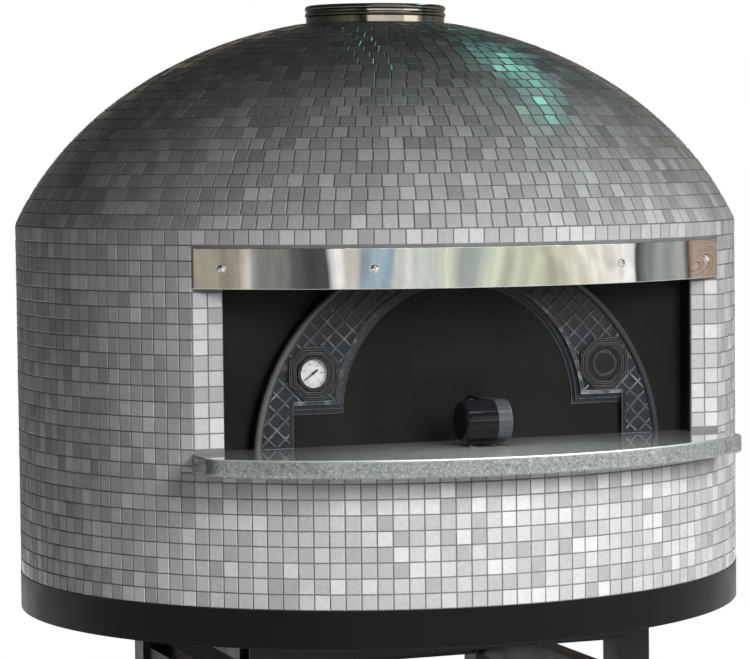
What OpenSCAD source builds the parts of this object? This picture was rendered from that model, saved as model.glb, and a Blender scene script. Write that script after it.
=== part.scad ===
// Round pizza oven on a steel stand: masonry chamber, mosaic casing, cast-iron arch and lift-out door.
// Floor plane is z = 0, the oven's axis is the Z axis and the mouth faces -Y.

/* [Stand] */
// Height of the base ring's lower edge above the floor
stand_h = 850; // [700:10:1000]
// Distance from the middle of the stand to a leg's middle, left to right
leg_x = 325; // [300:5:350]
// Distance from the middle of the stand to a leg's middle, front to back
leg_y = 340; // [310:5:360]
// Width of a leg's square tube
leg_w = 60; // [50:5:70]
// Wall of the stand's tubes
tube_t = 3; // [2:0.5:4]
// Height of the middle rails' upper faces above the floor
rail_top = 732; // [400:1:735]
// Width of a foot plate
foot_w = 150; // [140:5:160]
// Thickness of a foot plate
foot_t = 10; // [8:1:15]
// Radius of an anchor hole
anchor_r = 7; // [5:0.5:8]

/* [Drum and dome] */
// Radius of the drum over its mosaic
drum_r = 628.5; // [620:0.5:640]
// Pitch of the mosaic tiles
tile_pitch = 25; // [24:0.5:26]
// Courses of tiles from the base ring to the edge of the dome
drum_rows = 24; // [23:1:26]
// Thickness of a tile with its adhesive
tile_t = 6; // [4:0.5:8]
// Thickness of the steel shells
shell_t = 3; // [2:0.5:4]
// Half height of the ellipse that the dome's outline follows
dome_b = 551; // [540:1:570]
// Depth of that ellipse's middle below the edge of the dome
dome_c = 196; // [190:1:205]
// Height of the base ring
ring_h = 62; // [50:1:80]
// How far the base ring stands out past the mosaic
ring_out = 2; // [1:0.5:4]

/* [Mouth] */
// Depth of the flat mouth, in from the front of the drum
mouth_in = 199.5; // [195:0.5:205]
// Width of the tiled jamb at each side of the mouth
jamb_w = 50; // [45:1:55]
// Depth of the recess behind the jambs
recess_d = 39; // [36:1:42]
// Height from the arch's crown up to the line where the dome starts
arch_head = 26; // [24:1:32]
// Thickness of the granite sill
sill_t = 30; // [25:1:30]
// Reach of the sill beyond the drum
sill_over = 71.5; // [60:0.5:80]
// Height of the polished band over the mouth
band_h = 64; // [60:1:70]
// Depth of the band's upper edge below the edge of the dome
band_drop = 30; // [28:1:34]
// Thickness of the band
band_t = 2; // [1.5:0.5:3]

/* [Arch] */
// Outer radius of the cast arch
arch_r = 358; // [350:1:360]
// Depth of the arch's centre below the sill's top
arch_c = 28; // [24:1:32]
// Width of the arch's cast face at the crown circle
arch_w = 145; // [142:1:150]
// Height of the opening's centre above the sill
open_c = 56; // [52:1:60]
// Height of the wide slot at the bottom of the opening
slot_h = 69; // [66:1:72]
// Width of each leg of the arch at its foot
leg_foot = 69; // [66:1:74]
// Thickness of the casting behind its relief
cast_t = 22; // [20:1:24]
// Pitch of the lattice's ribs
lattice_pitch = 20.4; // [16:0.2:26]
// Width of an octagonal boss over its flats
boss_af = 84; // [80:1:88]
// Distance from the arch's outer edge in to a boss's middle
boss_in = 103; // [100:1:106]
// Height of a boss's middle above the sill
boss_z = 120; // [117:1:123]

/* [Chamber] */
// Room between the blanket and the steel casing, behind the vault
wall_gap = 27.5; // [20:0.5:35]
// Inner height of the vault
vault_h = 350; // [335:1:356]
// Distance from the oven's axis back to the vault's middle
vault_back = 65; // [60:1:68]
// Thickness of the refractory vault
vault_t = 55; // [50:1:60]
// Thickness of the blanket over the vault
blanket_t = 42; // [35:1:45]
// Thickness of the cooking floor
slab_t = 50; // [40:1:55]
// Thickness of the board under the cooking floor
board_t = 80; // [60:1:90]

/* [Flue] */
// Outer radius of the flue collar
collar_r = 121.5; // [118:0.5:125]
// Wall of the flue collar
collar_t = 3; // [2:0.5:4]
// Height of the collar's top above the edge of the dome
collar_top = 377; // [372:1:390]
// Width of the flat smoke duct over the vault
duct_w = 240; // [180:10:260]
// Height of that duct
duct_h = 80; // [60:1:84]

/* [Door and thermometer] */
// How far the door sits from the casting's steps
door_gap = 1.5; // [1:0.5:2.5]
// Thickness of the door's insulation
door_core_t = 36; // [25:1:40]
// Width of the handle's bent strap
strap_w = 24; // [20:1:28]
// Radius of the door's grip
grip_r = 36; // [30:1:37]
// Radius of the thermometer's case
case_r = 26.5; // [25:0.5:27]
// Radius of the needle's shaft
shaft_r = 1.25; // [1:0.05:1.4]
// Radial running clearance of that shaft
shaft_gap = 0.05; // [0.02:0.01:0.1]
// Gap kept between the door and the pieces round it
clear = 0.3; // [0.2:0.05:0.5]

/* [Hidden] */
$fn = 96;
eps = 0.01;
// Heights from the floor up
ring_z = stand_h;
drum_z = ring_z + ring_h;
kink_z = drum_z + drum_rows * tile_pitch;
sill_z = kink_z - (arch_r - arch_c + arch_head);
bed_z = sill_z - sill_t;
band_z = kink_z - band_drop - band_h;
lintel_z = kink_z - band_drop;
slab_z = sill_z - slab_t;
board_z = slab_z - board_t;
plate_t = 6;
// Radii and half widths of the casing
shell_r = drum_r - tile_t;
inner_r = shell_r - shell_t;
mouth_y = drum_r - mouth_in;
sill_r = drum_r + sill_over;
half_chord = sqrt(drum_r * drum_r - mouth_y * mouth_y);
band_angle = asin(half_chord / drum_r);
open_half = half_chord - jamb_w;
panel_t = 4;
panel_y = mouth_y - recess_d;
tunnel_y = panel_y - panel_t;
dome_a = drum_r / sqrt(1 - pow(dome_c / dome_b, 2));
dome_start = asin(dome_c / dome_b);
// Arch: each deeper level of the opening is smaller by one step
open_r = arch_r - arch_w;
slot_w = arch_r - leg_foot;
boss_x = arch_r - boss_in;
levels = 4;
step_y = 5;
step_r = 6;
step_z = 8;
face_y = panel_y + cast_t;
rib_w = 2.2;
relief_t = 2;
rim_r = 6.5;
boss_t = 5;
boss_ring = 2;
probe_r = 4;
probe_l = 30;
// Chamber: the vault is part of a sphere
vault_r = inner_r - wall_gap - vault_back - blanket_t - vault_t;
vault_s = (vault_r * vault_r + vault_h * vault_h) / (2 * vault_h);
vault_z = sill_z + vault_h - vault_s;
tunnel_t = 50;
tunnel_back = 120;
// Stand
rail_h = 60;
rail_w = 40;
top_h = 50;
top_z = ring_z - top_h;
anchor_off = foot_w / 2 - 20;

// Ring with a bore, standing on z = 0
module ring(outer, inner, height) {
  difference() {
    cylinder(r = outer, h = height);
    translate([0, 0, -1]) cylinder(r = inner, h = height + 2);
  }
}

// Extrudes a front view, drawn in x and z, from y = -front back to y = -back
module plate_xz(front, back) {
  translate([0, -back, 0]) rotate([90, 0, 0]) linear_extrude(height = front - back) children();
}

// Straight square or flat tube along z with open ends
module tube_z(w, d, h, wall = tube_t) {
  difference() {
    translate([-w / 2, -d / 2, 0]) cube([w, d, h]);
    translate([-w / 2 + wall, -d / 2 + wall, -1]) cube([w - 2 * wall, d - 2 * wall, h + 2]);
  }
}

module tube_x(length, d, h) {
  translate([-length / 2, 0, h / 2]) rotate([0, 90, 0]) tube_z(h, d, length);
}

module tube_y(length, w, h) {
  translate([0, length / 2, h / 2]) rotate([90, 0, 0]) tube_z(w, h, length);
}

// Points of the dome's outline, set in from its face by d, as [radius, height]
function dome_pt(t, d) =
  let (nx = cos(t) / dome_a, nz = sin(t) / dome_b, n = sqrt(nx * nx + nz * nz))
  [dome_a * cos(t) - d * nx / n, dome_b * sin(t) - dome_c - d * nz / n];
dome_steps = 20;
function dome_line(d, from) =
  [for (i = [0 : dome_steps - 1]) dome_pt(from + (90 - from) * i / dome_steps, d)];

// Solid under the dome's outline, set in by d
module dome_solid(d) {
  intersection() {
    rotate_extrude() polygon(concat([[0, -60], [drum_r - d, -60]], dome_line(d, dome_start - 2),
      [[0, dome_b - dome_c - d]]));
    translate([0, 0, dome_c]) cube([2 * drum_r + 2, 2 * drum_r + 2, 2 * dome_c], center = true);
  }
}

// Front view of the opening at a level, 0 at the face and more behind it
module opening(level, grow = 0) {
  top = sill_z + slot_h - level * step_z + grow;
  side = slot_w + grow - (level >= levels - 1 ? step_z * (level - levels + 2) : 0);
  intersection() {
    translate([0, sill_z + open_c]) circle(r = open_r - level * step_r + grow);
    translate([-open_r - grow - 5, top - 1]) square([2 * (open_r + grow + 5), open_r + grow + 60]);
  }
  translate([-side, sill_z - 1]) square([2 * side, top - sill_z + 1]);
}

// Front view of everything above the sill's top
module above_sill(lift = 0) {
  translate([-drum_r, sill_z + lift]) square([2 * drum_r, 2 * drum_r]);
}

module octagon(af) {
  rotate(22.5) circle(r = af / 2 / cos(22.5), $fn = 8);
}

// Stand
module foot_plate(sx, sy) {
  color("#1a1a1c") translate([sx * leg_x, sy * leg_y, 0]) difference() {
    translate([-foot_w / 2, -foot_w / 2, 0]) cube([foot_w, foot_w, foot_t]);
    translate([sx * anchor_off, sy * anchor_off, -1]) cylinder(r = anchor_r, h = foot_t + 2);
  }
}

module leg(sx, sy) {
  color("#1c1c1e") translate([sx * leg_x, sy * leg_y, foot_t]) tube_z(leg_w, leg_w, top_z - foot_t);
}

module rail_across(sy) {
  color("#1c1c1e") translate([0, sy * leg_y, rail_top - rail_h]) tube_x(2 * leg_x - leg_w, rail_w, rail_h);
}

module rail_along(sx) {
  color("#1c1c1e") translate([sx * leg_x, 0, rail_top - rail_h]) tube_y(2 * leg_y - leg_w, rail_w, rail_h);
}

module top_rail_across(sy) {
  color("#1c1c1e") translate([0, sy * leg_y, top_z]) tube_x(2 * leg_x + leg_w, leg_w, top_h);
}

module top_rail_along(sx) {
  color("#1c1c1e") translate([sx * leg_x, 0, top_z]) tube_y(2 * leg_y - leg_w, leg_w, top_h);
}

module base_plate() {
  color("#202022") translate([0, 0, ring_z]) cylinder(r = shell_r, h = plate_t);
}

module base_ring() {
  color("#161617") translate([0, 0, ring_z]) ring(drum_r + ring_out, shell_r, ring_h);
}

// Hearth
module base_fill() {
  fill_r = inner_r - 1;
  bottom = ring_z + plate_t;
  color("#a39a8a") {
    difference() {
      translate([0, 0, bottom]) cylinder(r = fill_r, h = bed_z - bottom);
      translate([-drum_r, -tunnel_y, board_z]) cube([2 * drum_r, 2 * drum_r, bed_z]);
    }
  }
}

module hearth_outline() {
  hearth_r = vault_r + vault_t + blanket_t;
  intersection() {
    union() {
      translate([0, vault_back]) circle(r = hearth_r);
      translate([-slot_w - tunnel_t, -panel_y]) square([2 * (slot_w + tunnel_t), panel_y]);
    }
    translate([-drum_r, -tunnel_y]) square([2 * drum_r, 2 * drum_r]);
    circle(r = inner_r - 1);
  }
}

module insulation_board() {
  color("#c9c2b2") translate([0, 0, board_z]) linear_extrude(height = board_t) hearth_outline();
}

module floor_slab(sx, sy) {
  joint = 1;
  color("#b89f84") intersection() {
    translate([0, 0, slab_z]) linear_extrude(height = slab_t) hearth_outline();
    translate([sx > 0 ? joint / 2 : -drum_r, sy > 0 ? joint / 2 : -drum_r, 0])
      cube([drum_r - joint / 2, drum_r - joint / 2, 2 * kink_z]);
  }
}

module vault_ball(r) {
  translate([0, vault_back, vault_z]) sphere(r = r, $fn = 240);
}

module probe_hole() {
  translate([-boss_x, 0, sill_z + boss_z]) rotate([90, 0, 0]) cylinder(r = probe_r + 1, h = drum_r);
}

module behind_panel() {
  translate([-drum_r, -tunnel_y, sill_z]) cube([2 * drum_r, 2 * drum_r, 2 * drum_r]);
}

module vault() {
  color("#b3a089") difference() {
    intersection() {
      vault_ball(vault_s + vault_t);
      behind_panel();
    }
    vault_ball(vault_s);
    plate_xz(panel_y + 5, 0) opening(levels - 1);
  }
}

// Short masonry tunnel that joins the arch to the vault
module mouth_tunnel() {
  color("#a8957e") difference() {
    plate_xz(tunnel_y, tunnel_back) intersection() {
      opening(levels - 1, tunnel_t);
      above_sill();
    }
    plate_xz(panel_y + 5, tunnel_back - 10) opening(levels - 1);
    vault_ball(vault_s + vault_t + 0.2);
    probe_hole();
  }
}

module vault_blanket() {
  color("#dcdad2") difference() {
    intersection() {
      vault_ball(vault_s + vault_t + 0.5 + blanket_t);
      behind_panel();
    }
    vault_ball(vault_s + vault_t + 0.5);
    plate_xz(panel_y + 5, 0) opening(levels - 1, tunnel_t + 1);
    probe_hole();
  }
}

// Casing
module mouth_cut(back) {
  translate([-drum_r, -2 * drum_r, bed_z])
    cube([2 * drum_r, 2 * drum_r - mouth_y + back, lintel_z - bed_z]);
}

module drum_wall_lower() {
  bottom = ring_z + plate_t;
  color("#2a2a2c") translate([0, 0, bottom]) ring(shell_r, inner_r, bed_z - bottom);
}

module drum_wall_upper() {
  color("#2a2a2c") difference() {
    translate([0, 0, bed_z]) ring(shell_r, inner_r, kink_z - bed_z);
    mouth_cut(tile_t);
  }
}

module dome_shell() {
  color("#2a2a2c") translate([0, 0, kink_z]) difference() {
    dome_solid(tile_t);
    dome_solid(tile_t + shell_t);
    cylinder(r = collar_r + 0.2, h = 2 * drum_r);
  }
}

module shell_flange() {
  color("#333335") translate([0, 0, kink_z - 6]) ring(inner_r, inner_r - 22, 6);
}

module drum_mosaic() {
  color("#a3a3a2") difference() {
    translate([0, 0, drum_z]) cylinder(r = drum_r, h = kink_z - drum_z);
    difference() {
      translate([0, 0, drum_z - 1]) cylinder(r = shell_r, h = kink_z - drum_z + 2);
      for (s = [0, 1]) mirror([s, 0, 0]) translate([open_half, -drum_r, sill_z])
        cube([drum_r, drum_r - mouth_y + tile_t, band_z - sill_z]);
    }
    mouth_cut(0);
  }
}

module dome_mosaic() {
  color("#8f8f8e") translate([0, 0, kink_z]) difference() {
    dome_solid(0);
    dome_solid(tile_t);
    cylinder(r = collar_r + 0.2, h = 2 * drum_r);
  }
}

// Folded steel post behind each tiled jamb
module jamb_post(s) {
  post_t = 3;
  color("#1b1b1c") mirror([s > 0 ? 0 : 1, 0, 0]) translate([open_half, -mouth_y + tile_t, sill_z]) {
    difference() {
      cube([jamb_w - 12, recess_d - tile_t, lintel_z - sill_z]);
      translate([post_t, post_t, -1])
        cube([jamb_w, recess_d - tile_t - 2 * post_t, lintel_z - sill_z + 2]);
    }
  }
}

module mouth_panel() {
  color("#1d1d1e") difference() {
    plate_xz(panel_y, tunnel_y)
      translate([-open_half - jamb_w + 12, bed_z])
        square([2 * (open_half + jamb_w - 12), ceiling_z - bed_z]);
    plate_xz(panel_y + 5, tunnel_y - 5) opening(levels - 1);
    probe_hole();
    bolt_places() cylinder(r = 4.2, h = 40, center = true);
  }
}

hood_w = 300;
hood_d = 110;
hood_out = 41;
hood_y = -mouth_y - hood_out;
ceiling_t = 3;
ceiling_up = 15;
ceiling_z = lintel_z + ceiling_up;
module recess_ceiling() {
  color("#1d1d1e") translate([0, 0, ceiling_z]) difference() {
    intersection() {
      cylinder(r = inner_r - 0.2, h = ceiling_t);
      translate([-drum_r, -drum_r, 0]) cube([2 * drum_r, drum_r - tunnel_y, ceiling_t]);
    }
    translate([-hood_w / 2, hood_y - hood_d / 2, -1]) cube([hood_w, hood_d, ceiling_t + 2]);
  }
}

// Curved bar behind the band, from jamb to jamb
module sector(r, h, half) {
  linear_extrude(height = h) intersection() {
    circle(r = r);
    polygon([[0, 0], [-2 * r * sin(half), -2 * r * cos(half)], [2 * r * sin(half), -2 * r * cos(half)]]);
  }
}

module lintel_bar() {
  bar_half = asin((half_chord - tile_t) / drum_r);
  color("#242426") translate([0, 0, band_z]) difference() {
    sector(drum_r - 0.5, band_h - 0.2, bar_half);
    translate([0, 0, -1]) cylinder(r = drum_r - 8, h = band_h + 2);
    screw_places() cylinder(r = 3, h = 40, center = true);
  }
}

screw_angles = [-42, -19.5, 19.5, 42];
module screw_places() {
  for (a = screw_angles) rotate([0, 0, a]) translate([0, -drum_r, band_h / 2]) rotate([90, 0, 0]) children();
}

// Polished band, with both ends pressed back to the mosaic
end_fold = 5;
module lintel_band() {
  color("#d9d8d2") translate([0, 0, band_z]) difference() {
    sector(drum_r + band_t, band_h, band_angle);
    translate([0, 0, -1]) cylinder(r = drum_r - 0.3, h = band_h + 2);
    screw_places() cylinder(r = 3.2, h = 40, center = true);
    for (s = [-1, 1]) rotate([0, 0, s * (band_angle - end_fold / drum_r * 180 / PI)])
      translate([0, -drum_r - band_t, -1]) rotate([0, 0, s * 18]) translate([s > 0 ? 0 : -20, -10, 0])
        cube([20, 10, band_h + 2]);
  }
}

// Button heads on washers, with a hexagonal socket
module band_screws() {
  head_r = 6.5;
  head_h = 3.5;
  washer_t = 1;
  cap_r = (head_r * head_r + head_h * head_h) / (2 * head_h);
  color("#d0cfca") translate([0, 0, band_z]) screw_places() difference() {
    union() {
      translate([0, 0, -7]) cylinder(r = 2.9, h = 7 + band_t + eps);
      translate([0, 0, band_t]) cylinder(r = head_r + 1.5, h = washer_t);
      translate([0, 0, band_t + washer_t]) rotate_extrude() intersection() {
        translate([0, head_h - cap_r]) circle(r = cap_r);
        square([head_r, head_h]);
      }
    }
    translate([0, 0, band_t + washer_t + head_h - 2]) cylinder(r = 2.3, h = 5, $fn = 6);
  }
}

// Plan of the sill: its shelf outside the mouth and the tongue between the jambs
module sill_plan() {
  shelf = half_chord + 3;
  tongue = open_half + jamb_w - 15;
  translate([-shelf, -sill_r]) square([2 * shelf, sill_r - mouth_y - clear]);
  translate([-tongue, -sill_r]) square([2 * tongue, sill_r - panel_y]);
}

module sill() {
  nose = 10;
  color("#7e8685") translate([0, 0, bed_z]) intersection() {
    rotate_extrude() {
      square([sill_r - nose, sill_t]);
      translate([0, nose]) square([sill_r, sill_t - 2 * nose]);
      for (z = [nose, sill_t - nose]) translate([sill_r - nose, z]) circle(r = nose);
    }
    linear_extrude(height = sill_t) sill_plan();
  }
}

// Smoke way: hood over the recess, flat duct over the vault, upright pipe and collar
hood_h = 100;
hood_z = ceiling_z + ceiling_t;
metal_t = 2;
duct_in = 30;
duct_low = 38;
duct_lift = 55;
flue_room = 18.5;
vault_top = sill_z + vault_h + vault_t + 0.5 + blanket_t;
flue_low = vault_top + flue_room;
duct_from = [hood_y + duct_in, kink_z + duct_low];
duct_to = [0, flue_low + duct_lift];
duct_tilt = atan2(duct_to[1] - duct_from[1], duct_to[0] - duct_from[0]);
module duct_box(grow, start, end) {
  translate([0, duct_from[0], duct_from[1]]) rotate([duct_tilt, 0, 0])
    translate([-duct_w / 2 - grow, start, -duct_h / 2 - grow])
      cube([duct_w + 2 * grow, end - start, duct_h + 2 * grow]);
}

module smoke_hood() {
  color("#2c2c2e") difference() {
    translate([-hood_w / 2 - metal_t, hood_y - hood_d / 2 - metal_t, hood_z])
      cube([hood_w + 2 * metal_t, hood_d + 2 * metal_t, hood_h]);
    translate([-hood_w / 2, hood_y - hood_d / 2, hood_z - 1]) cube([hood_w, hood_d, hood_h - metal_t + 1]);
    duct_box(0.2, -duct_in, 2 * hood_d);
  }
}

ledge = 3;
flue_r = collar_r - collar_t - ledge - 0.2;
spigot_l = 45;
flue_top = kink_z + collar_top - spigot_l;
duct_start = 12;
pipe_gap = 0.6;
module smoke_duct() {
  color("#4a4a4c") difference() {
    duct_box(0, duct_start, -duct_from[0]);
    duct_box(-metal_t, 0, drum_r);
    translate([0, 0, flue_low - duct_in]) cylinder(r = flue_r + pipe_gap, h = drum_r, $fn = 240);
  }
}

module flue_pipe() {
  color("#4a4a4c") difference() {
    translate([0, 0, flue_low]) cylinder(r = flue_r, h = flue_top - flue_low);
    translate([0, 0, flue_low + metal_t]) cylinder(r = flue_r - metal_t, h = drum_r);
    duct_box(-metal_t, 4 * duct_start, -duct_from[0] + 4 * duct_start);
  }
}

// Collar with two rolled beads at its lip and a ledge inside that stands on the pipe
bead_out = 2;
module flue_collar() {
  lap = 17;
  bead_r = 5.5;
  body_low = flue_top - lap;
  top = kink_z + collar_top;
  color("#1b1a19") difference() {
    union() {
      translate([0, 0, body_low]) cylinder(r = collar_r, h = top - body_low - bead_r);
      for (k = [1, 3]) translate([0, 0, top - k * bead_r]) rotate_extrude()
        translate([collar_r + bead_out - bead_r, 0]) circle(r = bead_r);
    }
    translate([0, 0, body_low - 1]) cylinder(r = flue_r + 0.2, h = 100);
    translate([0, 0, flue_top]) cylinder(r = collar_r - collar_t, h = 100);
  }
}

// Cast arch
module arch_outline(d) {
  intersection() {
    translate([0, sill_z - arch_c]) circle(r = arch_r - d);
    above_sill();
  }
}

module bosses() {
  for (s = [-1, 1]) translate([s * boss_x, sill_z + boss_z]) children();
}

// Open face of the casting, clear of its rim, mouldings and bosses
module lattice_field() {
  difference() {
    arch_outline(2 * rim_r + 1.5);
    opening(0, 7.5);
    bosses() octagon(boss_af + 5);
    translate([-drum_r, sill_z - 1]) square([2 * drum_r, 5]);
  }
}

// Thin raised ribs that cross at 45 degrees
module lattice() {
  count = floor(arch_r / lattice_pitch);
  intersection() {
    lattice_field();
    translate([0, sill_z - arch_c]) for (a = [-45, 45], k = [-count : count])
      rotate(a) translate([0, k * lattice_pitch]) square([2 * arch_r, rib_w], center = true);
  }
}

// Half-round rim along the arch's outer edge
module arch_rim() {
  intersection() {
    translate([0, -face_y, sill_z - arch_c]) rotate([90, 0, 0]) rotate_extrude()
      translate([arch_r - rim_r, 0]) circle(r = rim_r);
    translate([-drum_r, -drum_r, sill_z]) cube([2 * drum_r, drum_r, drum_r]);
  }
}

module case_hole() {
  translate([-boss_x, 0, sill_z + boss_z]) rotate([90, 0, 0]) cylinder(r = case_r + 0.3, h = drum_r);
}

module arch_casting() {
  color("#23252b") difference() {
    union() {
      for (k = [0 : levels - 1]) {
        back = k == levels - 1 ? panel_y : face_y - (k + 1) * step_y;
        plate_xz(face_y - k * step_y, back) difference() {
          arch_outline(0);
          opening(k);
        }
      }
      arch_rim();
      plate_xz(face_y + 3, face_y) intersection() {
        translate([-slot_w, sill_z + slot_h]) square([2 * slot_w, arch_r]);
        difference() {
          opening(0, 6);
          opening(0);
        }
      }
      plate_xz(face_y + relief_t, face_y) lattice();
      plate_xz(face_y + boss_t, face_y) bosses() octagon(boss_af);
      plate_xz(face_y + boss_t + boss_ring, face_y + boss_t) bosses() difference() {
        octagon(boss_af);
        octagon(boss_af - 8);
      }
      plate_xz(face_y + boss_t + boss_ring, face_y + boss_t) bosses() difference() {
        octagon(boss_af - 16);
        octagon(boss_af - 23);
      }
      translate([boss_x, 0, sill_z + boss_z]) rotate([90, 0, 0]) translate([0, 0, face_y + boss_t])
        ring(21, 18, boss_ring);
    }
    case_hole();
    bolt_places() translate([0, 0, -5]) cylinder(r = 3.9, h = 17);
  }
}

// Studs that hold the casting to the panel, in from its outer edge
bolt_angles = [25, 62, 118, 155];
bolt_r = arch_r - 20;
module bolt_places() {
  for (a = bolt_angles) translate([bolt_r * cos(a), -panel_y, sill_z - arch_c + bolt_r * sin(a)])
    rotate([90, 0, 0]) children();
}

module arch_bolts() {
  color("#5a5a5c") bolt_places() {
    translate([0, 0, -panel_t - 6]) cylinder(r = 3.8, h = panel_t + 17);
    translate([0, 0, -panel_t - 6]) cylinder(r = 7.5, h = 6, $fn = 6);
  }
}

// Thermometer, drawn on its own axis with +z toward the viewer
module at_dial() {
  translate([-boss_x, -face_y, sill_z + boss_z]) rotate([90, 0, 0]) children();
}

case_front = boss_t + boss_ring - 1;
dial_z = case_front - 7;
glass_z = case_front - 1.5;
case_back = -cast_t + 4;
module thermometer_case() {
  color("#202022") at_dial() difference() {
    translate([0, 0, case_back]) cylinder(r = case_r, h = case_front - case_back);
    translate([0, 0, dial_z - 1]) cylinder(r = case_r - 2.8, h = 20);
    translate([0, 0, glass_z]) cylinder(r = case_r - 2, h = 20);
    translate([0, 0, dial_z - 8]) cylinder(r = shaft_r + shaft_gap, h = 20);
  }
}

module thermometer_bezel() {
  color("#151515") at_dial() translate([0, 0, case_front]) difference() {
    cylinder(r = case_r + 1.5, h = 3);
    translate([0, 0, -1]) cylinder(r = case_r - 3.2, h = 5);
  }
}

module thermometer_dial() {
  color("#f4f4f2") at_dial() translate([0, 0, dial_z - 1]) difference() {
    cylinder(r = case_r - 2.9, h = 1);
    translate([0, 0, -1]) cylinder(r = shaft_r + 0.4, h = 3);
  }
}

needle_rest = 218;
module thermometer_needle() {
  needle_z = dial_z + 1.2;
  tip = case_r - 7;
  color("#15181c") at_dial() {
    translate([0, 0, dial_z - 7]) cylinder(r = shaft_r, h = needle_z - dial_z + 7);
    translate([0, 0, needle_z]) cylinder(r = 2.4, h = 1);
    translate([0, 0, needle_z]) rotate([0, 0, needle_rest]) linear_extrude(height = 0.8)
      polygon([[-7, -1.1], [-7, 1.1], [0, 1.1], [tip, 0.3], [tip, -0.3], [0, -1.1]]);
  }
}

module thermometer_glass() {
  color("#dfe8ea", 0.4) at_dial() translate([0, 0, glass_z]) cylinder(r = case_r - 2.2, h = 1.5);
}

module thermometer_probe() {
  color("#b9b9b6") at_dial() translate([0, 0, case_back - probe_l]) cylinder(r = probe_r, h = probe_l);
}

// Door: a sheet that rests in the casting's third level, with an insulated box behind it
door_level = levels - 2;
door_face = face_y - (door_level + 1) * step_y + clear;
sheet_t = 3;
module door_shape(level) {
  intersection() {
    opening(level, -door_gap);
    above_sill(clear);
  }
}

module door_front() {
  color("#191919") plate_xz(door_face + sheet_t, door_face) door_shape(door_level);
}

module door_core() {
  color("#cfcabd") plate_xz(door_face, door_face - door_core_t) door_shape(door_level + 2);
}

module door_back() {
  color("#2a2a2a") plate_xz(door_face - door_core_t, door_face - door_core_t - 2) door_shape(door_level + 2);
}

// Handle: a strap bent like a D, with a cheek that carries a barrel grip on its left side
strap_x = 29;
strap_t = 5;
strap_reach = 140;
strap_low = 4;
strap_high = 74;
cheek_t = 4;
grip_l = 55;
strap_left = strap_x - strap_w / 2;
bend_r = (strap_high - strap_low) / 2;
grip_y = -door_face - sheet_t - strap_reach + bend_r;
grip_z = sill_z + strap_low + bend_r;

// Extrudes a side view, drawn in y and z, from x = left
module plate_yz(left, width) {
  translate([left, 0, 0]) rotate([90, 0, 90]) linear_extrude(height = width) children();
}

module strap_side(d) {
  translate([grip_y, grip_z]) circle(r = bend_r - d);
  translate([grip_y, grip_z - bend_r + d])
    square([-door_face - sheet_t - grip_y - d, 2 * (bend_r - d)]);
}

module handle_strap() {
  color("#3a3c3e") difference() {
    union() {
      plate_yz(strap_left, strap_w) difference() {
        strap_side(0);
        strap_side(strap_t);
      }
      plate_yz(strap_left, cheek_t) translate([grip_y, grip_z]) circle(r = bend_r - 1);
    }
    at_grip() cylinder(r = bolt_hole_r, h = 4 * grip_l, center = true);
  }
}

// Local +z points left along the grip, from the cheek's face
bolt_hole_r = 4.3;
module at_grip() {
  translate([strap_left, grip_y, grip_z]) rotate([0, -90, 0]) children();
}

module door_grip() {
  round_r = 8;
  color("#08080a") at_grip() difference() {
    rotate_extrude() {
      square([grip_r, grip_l - round_r]);
      square([grip_r - round_r, grip_l]);
      translate([grip_r - round_r, grip_l - round_r]) circle(r = round_r);
    }
    translate([0, 0, -1]) cylinder(r = bolt_hole_r, h = grip_l - 14);
  }
}

module grip_bolt() {
  color("#8a8a8a") at_grip() {
    translate([0, 0, -cheek_t - 5]) cylinder(r = 7.5, h = 5, $fn = 6);
    translate([0, 0, -cheek_t - 5]) cylinder(r = 4, h = 5 + cheek_t + grip_l - 16);
  }
}

sides = ["left", "right"];
ends = ["front", "back"];
for (i = [0, 1], j = [0, 1]) {
  place = str(ends[j], "_", sides[i]);
  sx = 2 * i - 1;
  sy = 2 * j - 1;
  foot_plate(sx, sy);
  leg(sx, sy);
  floor_slab(sx, sy);
}
for (i = [0, 1]) {
  s = 2 * i - 1;
  rail_across(s);
  rail_along(s);
  top_rail_across(s);
  top_rail_along(s);
  jamb_post(s);
}
base_plate();
base_ring();
base_fill();
insulation_board();
vault();
mouth_tunnel();
vault_blanket();
drum_wall_lower();
drum_wall_upper();
dome_shell();
shell_flange();
drum_mosaic();
dome_mosaic();
mouth_panel();
recess_ceiling();
lintel_bar();
lintel_band();
band_screws();
sill();
smoke_hood();
smoke_duct();
flue_pipe();
flue_collar();
arch_casting();
arch_bolts();
thermometer_case();
thermometer_bezel();
thermometer_dial();
thermometer_needle();
thermometer_glass();
thermometer_probe();
door_front();
door_core();
door_back();
handle_strap();
door_grip();
grip_bolt();
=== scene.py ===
import math
import random

import bmesh
import bpy
import numpy as np
from mathutils import Matrix, Vector


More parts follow.
